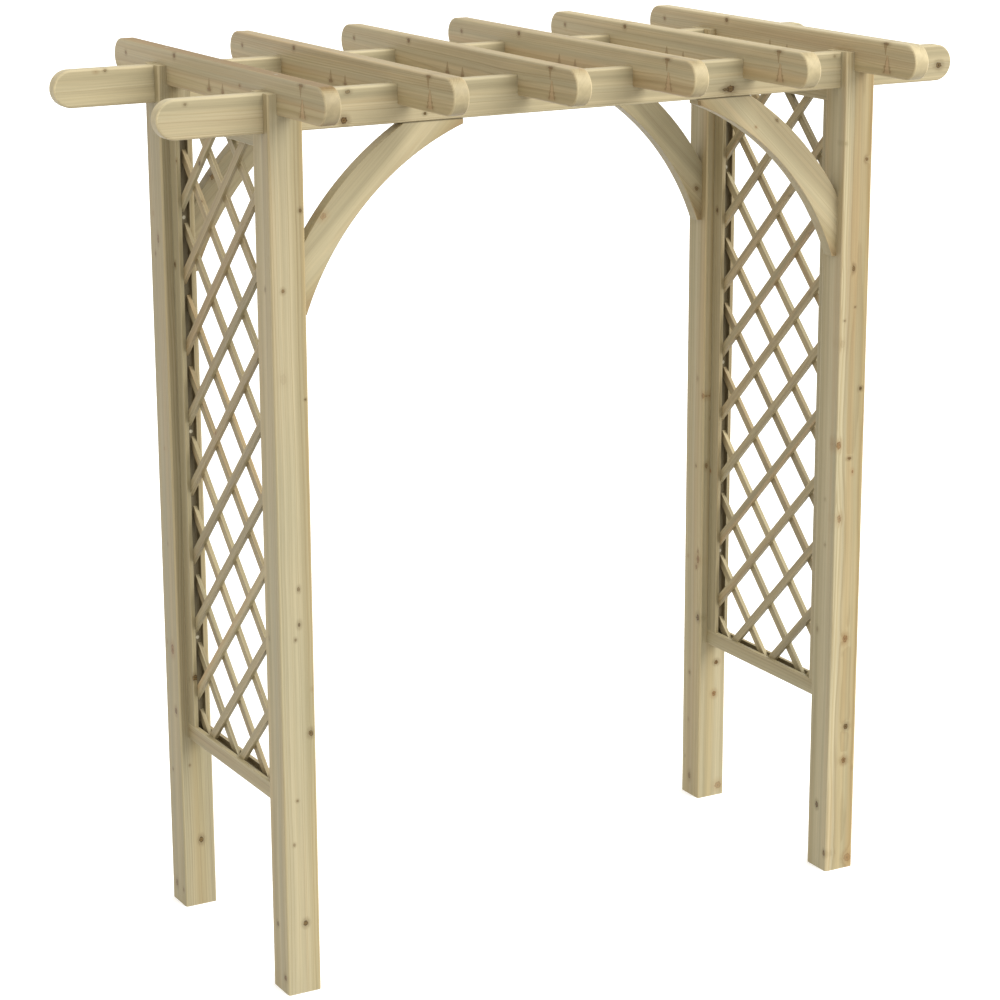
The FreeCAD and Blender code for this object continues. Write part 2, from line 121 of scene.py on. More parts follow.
# Fields of tone in the wood: output, whether it follows the bent grain, cycles per metre along and
# across the grain, what is added to the seed, detail, and the noise values that give 0 and 1.
TONE_FIELDS = [
    ("Streak", True, (0.7, 210.0, 210.0), 0.0, 2.0, (0.30, 0.70)),
    ("Stripe", True, (0.5, 55.0, 55.0), 0.0, 2.0, (0.28, 0.72)),
    ("Warm", True, (0.6, 30.0, 30.0), 3.0, 2.0, (0.48, 0.72)),
    ("Patch", False, (2.2, 14.0, 14.0), 7.0, 3.0, (0.32, 0.70)),
]

# The Mix node has sockets for each kind of value. These are the ones that mix colours.
MIX_FACTOR, MIX_FIRST, MIX_SECOND, MIX_RESULT = 0, 6, 7, 2


class Shader:
    """Adds nodes to one node tree and joins them up."""

    def __init__(self, tree):
        self.tree = tree

    def node(self, kind, **settings):
        made = self.tree.nodes.new(kind)
        for name, value in settings.items():
            setattr(made, name, value)
        return made

    def feed(self, socket, value):
        if isinstance(value, bpy.types.NodeSocket):
            self.tree.links.new(value, socket)
        else:
            socket.default_value = value

    def math(self, operation, *values):
        made = self.node("ShaderNodeMath", operation=operation)
        for socket, value in zip(made.inputs, values):
            self.feed(socket, value)
        return made.outputs[0]

    def around(self, middle, spread, value):
        """`value` from 0 to 1 as a number that runs over `spread`, with `middle` in the middle."""
        return self.math("MULTIPLY_ADD", value, spread, middle - spread / 2)

    def vector(self, operation, *values):
        made = self.node("ShaderNodeVectorMath", operation=operation)
        for socket, value in zip(made.inputs, values):
            self.feed(socket, value)
        return made.outputs["Value" if operation in ("LENGTH", "DOT_PRODUCT") else "Vector"]

    def scaled(self, vector, factor):
        made = self.node("ShaderNodeVectorMath", operation="SCALE")
        self.feed(made.inputs[0], vector)
        self.feed(made.inputs["Scale"], factor)
        return made.outputs["Vector"]

    def noise(self, place, scale, seed, detail=2.0):
        """Noise stretched by the vector `scale`, in cycles per metre; returns its value and its colour."""
        made = self.node("ShaderNodeTexNoise", noise_dimensions="4D")
        self.feed(made.inputs["Vector"], self.vector("MULTIPLY", place, scale))
        self.feed(made.inputs["W"], seed)
        made.inputs["Scale"].default_value = 1.0
        made.inputs["Detail"].default_value = detail
        return made.outputs[0], made.outputs[1]

    def remap(self, value, low, high, to_low=0.0, to_high=1.0):
        """A smooth step from `to_low` at `low` to `to_high` at `high`."""
        made = self.node("ShaderNodeMapRange", interpolation_type="SMOOTHSTEP")
        for socket, item in zip(made.inputs, (value, low, high, to_low, to_high)):
            self.feed(socket, item)
        return made.outputs[0]

    def mix(self, factor, first, second):
        made = self.node("ShaderNodeMix", data_type="RGBA")
        self.feed(made.inputs[MIX_FACTOR], factor)
        for index, value in ((MIX_FIRST, first), (MIX_SECOND, second)):
            self.feed(made.inputs[index], (*value, 1.0) if isinstance(value, tuple) else value)
        return made.outputs[MIX_RESULT]

    def ramp(self, value, stops):
        """A colour ramp with `stops` of (position, colour)."""
        made = self.node("ShaderNodeValToRGB")
        elements = made.color_ramp.elements
        while len(elements) < len(stops):
            elements.new(0.5)
        for element, (at, colour) in zip(elements, stops):
            element.position = at
            element.color = (*colour, 1.0)
        self.feed(made.inputs[0], value)
        return made.outputs[0]

    def split(self, vector):
        made = self.node("ShaderNodeSeparateXYZ")
        self.feed(made.inputs[0], vector)
        return made.outputs

    def joined(self, *values):
        made = self.node("ShaderNodeCombineXYZ")
        for socket, value in zip(made.inputs, values):
            self.feed(socket, value)
        return made.outputs[0]

    def group(self, tree, **values):
        made = self.node("ShaderNodeGroup", node_tree=tree)
        for name, value in values.items():
            self.feed(made.inputs[name], value)
        return made.outputs


def new_group(name, inputs, outputs):
    """An empty node group with these sockets, its Shader, its input sockets and its output node."""
    tree = bpy.data.node_groups.new(name, "ShaderNodeTree")
    for label, kind in inputs.items():
        tree.interface.new_socket(label, in_out="INPUT", socket_type=f"NodeSocket{kind}")
    for label, kind in outputs.items():
        tree.interface.new_socket(label, in_out="OUTPUT", socket_type=f"NodeSocket{kind}")
    shader = Shader(tree)
    return tree, shader, shader.node("NodeGroupInput").outputs, shader.node("NodeGroupOutput").inputs


def make_knot_colour_group():
    """The colour of a knot from its middle (0) to its rim (1), and how fully it covers the wood."""
    rim = (0.85, 1.20)
    halo_reach = (0.90, 2.90)
    halo_cover = 0.42
    tree, s, given, result = new_group(
        "knot_colour",
        {"Distance": "Float", "Warmth": "Float", "Fade": "Float"},
        {"Colour": "Color", "Cover": "Float"},
    )
    brown = s.ramp(given["Distance"], KNOT_BROWN)
    warm = s.ramp(given["Distance"], KNOT_WARM)
    s.feed(result["Colour"], s.mix(given["Warmth"], brown, warm))
    core = s.remap(given["Distance"], *rim, 1.0, 0.0)
    halo = s.remap(given["Distance"], *halo_reach, halo_cover, 0.0)
    s.feed(result["Cover"], s.math("MULTIPLY", s.math("MAXIMUM", core, halo), given["Fade"]))
    return tree


def make_knot_group(knot_colour):
    """One knot on a face: a branch that runs in along Axis, with the grain swept round it."""
    ragged_scale = (150, 230, 230)
    ragged_seed = 3.0
    raggedness = 1.2
    sweep_falloff = -0.25
    sweep_share = 0.5
    tree, s, given, result = new_group(
        "knot",
        {
            "Place": "Vector",
            "Centre": "Vector",
            "Axis": "Vector",
            "Radius": "Float",
            "Stretch": "Float",
            "Warmth": "Float",
            "Fade": "Float",
        },
        {"Colour": "Color", "Cover": "Float", "Sweep": "Float"},
    )
    away = s.vector("SUBTRACT", given["Place"], given["Centre"])
    inward = s.vector("DOT_PRODUCT", away, given["Axis"])
    across = s.vector("SUBTRACT", away, s.scaled(given["Axis"], inward))
    along, second, third = s.split(across)
    flat = s.joined(s.math("DIVIDE", along, given["Stretch"]), second, third)
    ragged, _ = s.noise(given["Place"], ragged_scale, ragged_seed)
    distance = s.math("DIVIDE", s.vector("LENGTH", flat), given["Radius"])
    distance = s.math("ADD", distance, s.around(0.0, raggedness, ragged))
    near = s.remap(s.math("ABSOLUTE", inward), *KNOT_DEPTH, 1.0, 0.0)
    fade = s.math("MULTIPLY", near, given["Fade"])
    knot = s.group(knot_colour, Distance=distance, Warmth=given["Warmth"], Fade=fade)
    s.feed(result["Colour"], knot["Colour"])
    s.feed(result["Cover"], knot["Cover"])
    spread = s.math("MULTIPLY", s.math("MULTIPLY", distance, distance), sweep_falloff)
    sweep = s.math("MULTIPLY", s.math("EXPONENT", spread), s.math("MULTIPLY", fade, given["Radius"]))
    s.feed(result["Sweep"], s.math("MULTIPLY", sweep, sweep_share))
    return tree


def make_spike_group():
    """A branch cut along its length: a wedge that opens from Tip along Run, dark at its edges."""
    ragged_scale = (150, 150, 150)
    ragged_seed = 5.0
    ragged_detail = 3.0
    raggedness = 1.5
    tip_width = 0.15
    edge_at = 0.85
    edge_reach = (0.10, 0.38)
    side_fade = (0.95, 1.30)
    tip_fade = (-0.04, 0.06)
    base_fade = (0.92, 1.05)
    full_cover = 0.58
    tree, s, given, result = new_group(
        "spike_knot",
        {
            "Place": "Vector",
            "Tip": "Vector",
            "Run": "Vector",
            "Axis": "Vector",
            "Length": "Float",
            "Width": "Float",
            "Fill": "Color",
        },
        {"Colour": "Color", "Cover": "Float"},
    )
    away = s.vector("SUBTRACT", given["Place"], given["Tip"])
    down = s.math("DIVIDE", s.vector("DOT_PRODUCT", away, given["Run"]), given["Length"])
    along, _, _ = s.split(away)
    ragged, _ = s.noise(given["Place"], ragged_scale, ragged_seed, ragged_detail)
    width = s.math("MULTIPLY", s.math("MULTIPLY_ADD", down, 1.0 - tip_width, tip_width), given["Width"])
    beside = s.math("DIVIDE", s.math("ABSOLUTE", along), s.math("MULTIPLY", width, 0.5))
    beside = s.math("ADD", beside, s.around(0.0, raggedness, ragged))
    from_edge = s.math("ABSOLUTE", s.math("SUBTRACT", beside, edge_at))
    edge = s.remap(from_edge, *edge_reach, 1.0, 0.0)
    s.feed(result["Colour"], s.mix(edge, given["Fill"], SPIKE_EDGE))
    inside = s.remap(beside, *side_fade, 1.0, 0.0)
    started = s.remap(down, *tip_fade)
    ended = s.remap(down, *base_fade, 1.0, 0.0)
    inward = s.math("ABSOLUTE", s.vector("DOT_PRODUCT", away, given["Axis"]))
    near = s.remap(inward, *SPIKE_DEPTH, 1.0, 0.0)
    cover = s.math("MULTIPLY", s.math("MULTIPLY", inside, started), s.math("MULTIPLY", ended, near))
    s.feed(result["Cover"], s.math("MULTIPLY", cover, full_cover))
    return tree


def make_pin_knots_group(knot_colour):
    """Small knots scattered through the timber; Share is the share of the cells that hold one."""
    cells = (5.5, 16.0, 16.0)
    squash = (0.65, 1.0, 1.0)
    least_radius = 0.0020
    radius_range = 0.0030
    full_cover = 0.8
    tree, s, given, result = new_group(
        "pin_knots",
        {"Place": "Vector", "Seed": "Float", "Share": "Float"},
        {"Colour": "Color", "Cover": "Float"},
    )
    spots = s.node("ShaderNodeTexVoronoi", voronoi_dimensions="4D")
    s.feed(spots.inputs["Vector"], s.vector("MULTIPLY", given["Place"], cells))
    s.feed(spots.inputs["W"], given["Seed"])
    spots.inputs["Scale"].default_value = 1.0
    middle = s.vector("DIVIDE", spots.outputs["Position"], cells)
    away = s.vector("MULTIPLY", s.vector("SUBTRACT", given["Place"], middle), squash)
    pick, size, warmth = s.split(spots.outputs["Color"])
    radius = s.math("MULTIPLY_ADD", size, radius_range, least_radius)
    distance = s.math("DIVIDE", s.vector("LENGTH", away), radius)
    chosen = s.math("LESS_THAN", pick, given["Share"])
    knot = s.group(knot_colour, Distance=distance, Warmth=warmth, Fade=chosen)
    s.feed(result["Colour"], knot["Colour"])
    s.feed(result["Cover"], s.math("MULTIPLY", knot["Cover"], full_cover))
    return tree


def make_figure_group():
    """Growth rings, fibres and tone fields; Place has its first axis along the grain."""
    centred = (0.5, 0.5, 0.5)
    wander_scale, wander_reach = (0.9, 4.0, 4.0), 0.030
    ripple_scale, ripple_reach = (6.0, 40.0, 40.0), 0.0026
    uneven_scale, ring_unevenness = (60.0, 1.0, 1.0), 3.0
    latewood_rise, latewood_drop = (0.30, 0.88), (0.92, 1.00)
    year_contrast = 1.6
    fibre_scale, fibre_detail = (14.0, 900.0, 900.0), 3.0
    tree, s, given, result = new_group(
        "softwood_figure",
        {
            "Place": "Vector",
            "Seed": "Float",
            "Pith": "Vector",
            "Ring width": "Float",
            "Sweep": "Float",
        },
        {
            "Latewood": "Float",
            "Fibre": "Float",
            "Streak": "Float",
            "Stripe": "Float",
            "Warm": "Float",
            "Patch": "Float",
            "Bent": "Vector",
        },
    )
    place, seed = given["Place"], given["Seed"]
    _, wander = s.noise(place, wander_scale, seed)
    wander = s.scaled(s.vector("SUBTRACT", wander, centred), wander_reach)
    _, ripple = s.noise(place, ripple_scale, seed)
    ripple = s.scaled(s.vector("SUBTRACT", ripple, centred), ripple_reach)
    bent = s.vector("ADD", s.vector("ADD", place, wander), ripple)
    s.feed(result["Bent"], bent)

    outward = s.vector("MULTIPLY", s.vector("SUBTRACT", bent, given["Pith"]), (0.0, 1.0, 1.0))
    radius = s.math("ADD", s.vector("LENGTH", outward), given["Sweep"])
    turns = s.math("DIVIDE", radius, given["Ring width"])
    uneven, _ = s.noise(s.joined(radius, 0.0, 0.0), uneven_scale, seed, 1.0)
    turns = s.math("MULTIPLY_ADD", uneven, ring_unevenness, turns)
    within = s.math("FRACT", turns)
    rise = s.remap(within, *latewood_rise)
    drop = s.remap(within, *latewood_drop)
    year = s.node("ShaderNodeTexWhiteNoise", noise_dimensions="2D")
    s.feed(year.inputs["Vector"], s.joined(s.math("FLOOR", turns), seed, 0.0))
    strength = s.math("POWER", year.outputs["Value"], year_contrast)
    s.feed(result["Latewood"], s.math("MULTIPLY", s.math("SUBTRACT", rise, drop), strength))

    fibre, _ = s.noise(place, fibre_scale, seed, fibre_detail)
    s.feed(result["Fibre"], fibre)
    for output, follows_grain, scale, shift, detail, span in TONE_FIELDS:
        number = s.math("ADD", seed, shift) if shift else seed
        field, _ = s.noise(bent if follows_grain else place, scale, number, detail)
        s.feed(result[output], s.remap(field, *span))
    return tree


KNOT_COLOUR = make_knot_colour_group()
KNOT = make_knot_group(KNOT_COLOUR)
SPIKE = make_spike_group()
PIN_KNOTS = make_pin_knots_group(KNOT_COLOUR)
FIGURE = make_figure_group()


def new_material(name):
    """An empty node material and its Shader."""
    material = bpy.data.materials.new(name)
    material.use_nodes = True
    material.node_tree.nodes.clear()
    return material, Shader(material.node_tree)


def add_surface(s, colour, roughness, relief, bump_strength, bump_depth):
    """The Principled surface of a material, with `relief` as its bump."""
    surface = s.node("ShaderNodeBsdfPrincipled")
    s.feed(surface.inputs["Base Color"], colour)
    s.feed(surface.inputs["Roughness"], roughness)
    bump = s.node("ShaderNodeBump")
    bump.inputs["Strength"].default_value = bump_strength
    bump.inputs["Distance"].default_value = bump_depth
    s.feed(bump.inputs["Height"], relief)
    s.feed(surface.inputs["Normal"], bump.outputs["Normal"])
    output = s.node("ShaderNodeOutputMaterial")
    s.feed(output.inputs["Surface"], surface.outputs["BSDF"])
    return surface


def grain_axes(grain):
    """Right-handed axes of a piece: the first along its grain, the others across it."""
    helper = ALONG_X if abs(grain.x) < 0.5 else ALONG_Y
    second = (helper - grain * helper.dot(grain)).normalized()
    return Matrix((grain, second, grain.cross(second))).transposed()


def banded(s, bent, facing, bands, half):
    """The tone of broad bands along the grain, given for each pair of side faces.

    `bands` holds two lists of tones, spread evenly over the width of the faces that look along the
    second axis and of those that look along the third.
    """
    _, second, third = s.split(bent)
    tones = []
    for across, reach, stops in ((third, half[2], bands[0]), (second, half[1], bands[1])):
        spread = s.math("MULTIPLY_ADD", s.math("DIVIDE", across, reach), 0.5, 0.5)
        step = 1.0 / max(1, len(stops) - 1)
        tones.append(s.ramp(spread, [(index * step, stop) for index, stop in enumerate(stops)]))
    return s.mix(facing, tones[1], tones[0])


def lath_coordinates(s, name, middle, to_grain, third, seed):
    """Across the grain from the middle of each lath of a node, and a number that differs by lath."""
    number_step = 0.73
    panel = "_".join(name.split("_")[:2])
    stile_low, stile_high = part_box(f"{panel}_stile_front")
    panel_middle = Vector((middle.x, 0.0, (stile_low.z + stile_high.z) / 2))
    offset = (to_grain @ (middle - panel_middle)).z
    turns = s.math("DIVIDE", s.math("ADD", third, offset), LATH_SPACING)
    within = s.math("MULTIPLY", s.math("SUBTRACT", s.math("FRACT", turns), 0.5), LATH_SPACING)
    return within, s.math("MULTIPLY_ADD", s.math("FLOOR", turns), number_step, seed)


def clear_wood(s, figure, contrast, green, warmth):
    """The colour of wood without knots, from its rings and tints, and its tone."""
    ring_cover, stripe_spread, streak_spread, fibre_spread = 0.75, 0.20, 0.12, 0.24
    rings = s.math("MULTIPLY", figure["Latewood"], ring_cover * contrast)
    colour = s.mix(rings, EARLYWOOD, LATEWOOD)
    colour = s.mix(s.math("MULTIPLY", figure["Patch"], green), colour, GREEN_TINT)
    colour = s.mix(s.math("MULTIPLY", figure["Warm"], warmth), colour, WARM_TINT)
    tone = s.around(1.0, stripe_spread * contrast, figure["Stripe"])
    tone = s.math("MULTIPLY", tone, s.around(1.0, streak_spread * contrast, figure["Streak"]))
    tone = s.math("MULTIPLY", tone, s.around(1.0, fibre_spread, figure["Fibre"]))
    return colour, tone


def arris_highlight_and_wear(s, figure, normal, facing_second, second, third, half):
    """How much the wood is paled along its arrises, as a painted highlight with some rubbed wear: slightly
    beside every arris, and most where an arris is rounded.

    A rounded arris is where the normal lies between two faces. One that looks up gets less of the painted
    highlight.
    """
    turned_from_third, turned_to_second = (0.04, 0.30), (0.90, 0.995)
    looks_up, upward_highlight_share = (0.05, 0.55), 0.15
    highlight_middle, highlight_spread = 0.55, 0.30
    beside_reach, beside_cover = (0.0005, 0.0070), 0.20
    left_third = s.remap(facing_second, *turned_from_third)
    before_second = s.remap(facing_second, *turned_to_second, 1.0, 0.0)
    rounded = s.math("MULTIPLY", left_third, before_second)
    _, _, upward = s.split(normal)
    rounded = s.math("MULTIPLY", rounded, s.remap(upward, *looks_up, 1.0, upward_highlight_share))
    patchy = s.around(highlight_middle, highlight_spread, figure["Patch"])
    highlit_and_rubbed = s.math("MULTIPLY", rounded, patchy)
    from_second = s.math("SUBTRACT", half.y, s.math("ABSOLUTE", second))
    from_third = s.math("SUBTRACT", half.z, s.math("ABSOLUTE", third))
    from_arris = s.math("MAXIMUM", from_second, from_third)
    beside = s.remap(from_arris, *beside_reach, beside_cover, 0.0)
    return s.math("MAXIMUM", beside, highlit_and_rubbed)


def sawn_ends(s, figure, colour, facing_grain, end_tone):
    """The colour with paler end grain where the wood is cut across."""
    ring_cover, stripe_spread, full_cover = 0.18, 0.16, 0.85
    cut_across = (0.30, 0.80)
    end = s.mix(s.math("MULTIPLY", figure["Latewood"], ring_cover), SAWN_END, LATEWOOD)
    end = s.scaled(end, s.around(end_tone, stripe_spread, figure["Stripe"]))
    sawn = s.remap(facing_grain, *cut_across)
    return s.mix(s.math("MULTIPLY", sawn, full_cover), colour, end)


def softwood(
    name,
    grain,
    seed,
    pith=(0.0, 0.075, 0.060),
    warmth=0.25,
    green=0.35,
    shade=1.0,
    contrast=1.0,
    bands=((PLAIN, PLAIN), (PLAIN, PLAIN)),
    band_reach=None,
    end_tone=1.0,
    crevice_shade=None,
    knots=(),
    spikes=(),
    pin_share=0.15,
    laths=False,
    groove=None,
):
    """A material for one piece of treated softwood, with its grain along `grain`.

    `knots` holds (place, axis, radius, stretch, fade, warmth) and `spikes` holds (tip, run, axis,
    length, width, fill), both in the row frame. With `laths` the node holds laths side by side, and
    each gets its own tone. `groove` is half the width of a sawn groove, whose inside gets a painted
    shade. `band_reach` is how far the bands reach across the piece, where that is less than its box,
    and the crevice reach is how far a painted shade runs down from the piece's top, where it meets the
    rail. `pin_share` is how common pin knots are.
    """
    ring_width = 0.0040
    lath_spread = 0.26
    highlight_brightness = 1.45
    crevice_shade_cover, groove_shade_cover, groove_edge = 0.60, 0.75, (0.0001, 0.0006)
    roughness_middle, fibre_roughness, ring_roughness = 0.51, 0.22, -0.08
    ring_relief, fibre_relief, knot_relief = 0.55, 0.35, 0.8
    material, s = new_material(name)
    low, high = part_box(name)
    middle = (low + high) / 2
    axes = grain_axes(grain)
    to_grain = axes.transposed()
    half = Vector([abs(row.dot((high - low) / 2)) for row in to_grain])

    coordinates = s.node("ShaderNodeTexCoord")
    mapping = s.node("ShaderNodeMapping", vector_type="TEXTURE")
    s.feed(mapping.inputs["Vector"], coordinates.outputs["Object"])
    mapping.inputs["Location"].default_value = middle
    mapping.inputs["Rotation"].default_value = axes.to_euler()
    place = mapping.outputs["Vector"]
    _, _, height = s.split(coordinates.outputs["Object"])
    _, second, third = s.split(place)
    number = seed
    if laths:
        third, number = lath_coordinates(s, name, middle, to_grain, third, seed)
        half = Vector((half.x, LATH_SIZE[0] / 2, LATH_SIZE[1] / 2))

    normal = s.node("ShaderNodeNewGeometry").outputs["True Normal"]
    facing_second = s.math("ABSOLUTE", s.vector("DOT_PRODUCT", normal, to_grain[1]))
    facing_grain = s.math("ABSOLUTE", s.vector("DOT_PRODUCT", normal, tuple(grain)))

    found = []
    sweep = 0.0
    for spot, axis, radius, stretch, fade, warm in knots:
        knot = s.group(
            KNOT,
            Place=place,
            Centre=to_grain @ (spot - middle),
            Axis=to_grain @ axis,
            Radius=radius,
            Stretch=stretch,
            Warmth=warm,
            Fade=fade,
        )
        found.append(knot)
        sweep = s.math("ADD", knot["Sweep"], sweep)

    figure = s.group(
        FIGURE,
        **{"Place": place, "Seed": number, "Pith": pith, "Ring width": ring_width, "Sweep": sweep},
    )
    colour, tone = clear_wood(s, figure, contrast, green, warmth)
    if laths:
        board = s.node("ShaderNodeTexWhiteNoise", noise_dimensions="1D")
        s.feed(board.inputs["W"], number)
        tone = s.math("MULTIPLY", tone, s.around(1.0, lath_spread, board.outputs["Value"]))
    reach = Vector((half.x, half.y, band_reach)) if band_reach else half
    colour = s.vector("MULTIPLY", colour, banded(s, figure["Bent"], facing_second, bands, reach))
    # Painted shade: the wood turns slightly darker and warmer towards the roof above it.
    roof_shade = s.mix(s.remap(height, *ROOF_SHADE_HEIGHTS), PLAIN, PAINTED_ROOF_SHADE)
    colour = s.vector("MULTIPLY", colour, roof_shade)
    colour = s.scaled(colour, s.math("MULTIPLY", tone, shade))

    pins = s.group(PIN_KNOTS, Place=place, Seed=seed, Share=pin_share)
    for knot in [pins] + found:
        colour = s.mix(knot["Cover"], colour, knot["Colour"])
    for tip, run, axis, length, width, fill in spikes:
        spike = s.group(
            SPIKE,
            Place=place,
            Tip=to_grain @ (tip - middle),
            Run=to_grain @ run,
            Axis=to_grain @ axis,
            Length=length,
            Width=width,
            Fill=(*fill, 1.0),
        )
        colour = s.mix(spike["Cover"], colour, spike["Colour"])

    colour = sawn_ends(s, figure, colour, facing_grain, end_tone)
    # Painted highlight along the arrises, brightest on rounded ones that look down, with some rubbed wear.
    highlight_and_wear = arris_highlight_and_wear(s, figure, normal, facing_second, second, third, half)
    colour = s.mix(highlight_and_wear, colour, s.scaled(colour, highlight_brightness))
    # Painted shade: darker just below the piece's top, where it meets the rail.
    if crevice_shade:
        below_rail = s.math("SUBTRACT", high.z, height)
        painted_crevice_shade = s.remap(below_rail, 0.0, crevice_shade, crevice_shade_cover, 0.0)
        colour = s.mix(painted_crevice_shade, colour, CREVICE_SHADE)
    # Painted shade: darker inside the sawn groove of the lattice frame.
    if groove:
        from_middle = s.math("ABSOLUTE", second)
        edges = [groove + beyond for beyond in groove_edge]
        painted_groove_shade = s.remap(from_middle, *edges, groove_shade_cover, 0.0)
        colour = s.mix(painted_groove_shade, colour, s.vector("MULTIPLY", colour, GROOVE_SHADE))

    roughness = s.around(roughness_middle, fibre_roughness, figure["Fibre"])
    roughness = s.math("MULTIPLY_ADD", figure["Latewood"], ring_roughness, roughness)
    relief = s.math("MULTIPLY", figure["Latewood"], ring_relief)
    relief = s.math("MULTIPLY_ADD", figure["Fibre"], fibre_relief, relief)
    for knot in found:
        relief = s.math("MULTIPLY_ADD", knot["Cover"], knot_relief, relief)
    surface = add_surface(s, colour, roughness, relief, bump_strength=0.45, bump_depth=0.0006)
    surface.inputs["Specular IOR Level"].default_value = 0.28
    return material


def zinc_steel(name):
    """Yellow passivated zinc plate with cloudy dulling, for the screws and staples."""
    dull, bright = (0.34, 0.31, 0.22), (0.52, 0.48, 0.36)
    cloud_scale, scratch_scale = (220, 220, 220), (2500, 2500, 400)
    material, s = new_material(name)
    place = s.node("ShaderNodeTexCoord").outputs["Object"]
    cloud, _ = s.noise(place, cloud_scale, 1.0, 4.0)
    scratch, _ = s.noise(place, scratch_scale, 2.0, 2.0)
    colour = s.mix(cloud, dull, bright)
    roughness = s.around(0.53, 0.30, cloud)
    surface = add_surface(s, colour, roughness, scratch, bump_strength=0.3, bump_depth=0.0002)
    surface.inputs["Metallic"].default_value = 1.0
    return material


def on_face(node, side, across, up):
    """A spot on a side of a node's box: `across` from its middle, `up` from its bottom, and the way in."""
    low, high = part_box(node)
    middle = (low + high) / 2
    normal = SIDES[side]
    spot = Vector((middle.x, middle.y, low.z + up))
    if side in ("front", "rear"):
        spot.x += across
        spot.y = low.y if side == "front" else high.y
    else:
        spot.y += across
        spot.x = low.x if side == "left" else high.x
    return spot, normal


def placed_knots(node, spots):
    """Knots from (side, across, up, radius, stretch, fade, warmth) on a node's box."""
    found = []
    for side, across, up, *rest in spots:
        spot, axis = on_face(node, side, across, up)
        found.append((spot, axis, *rest))
    return found


def placed_spikes(node, spots):
    """Spike knots from (side, across, up, run, length, width, fill) on a node's box."""
    found = []
    for side, across, up, run, *rest in spots:
        spot, axis = on_face(node, side, across, up)
        found.append((spot, Vector(run), axis, *rest))
    return found


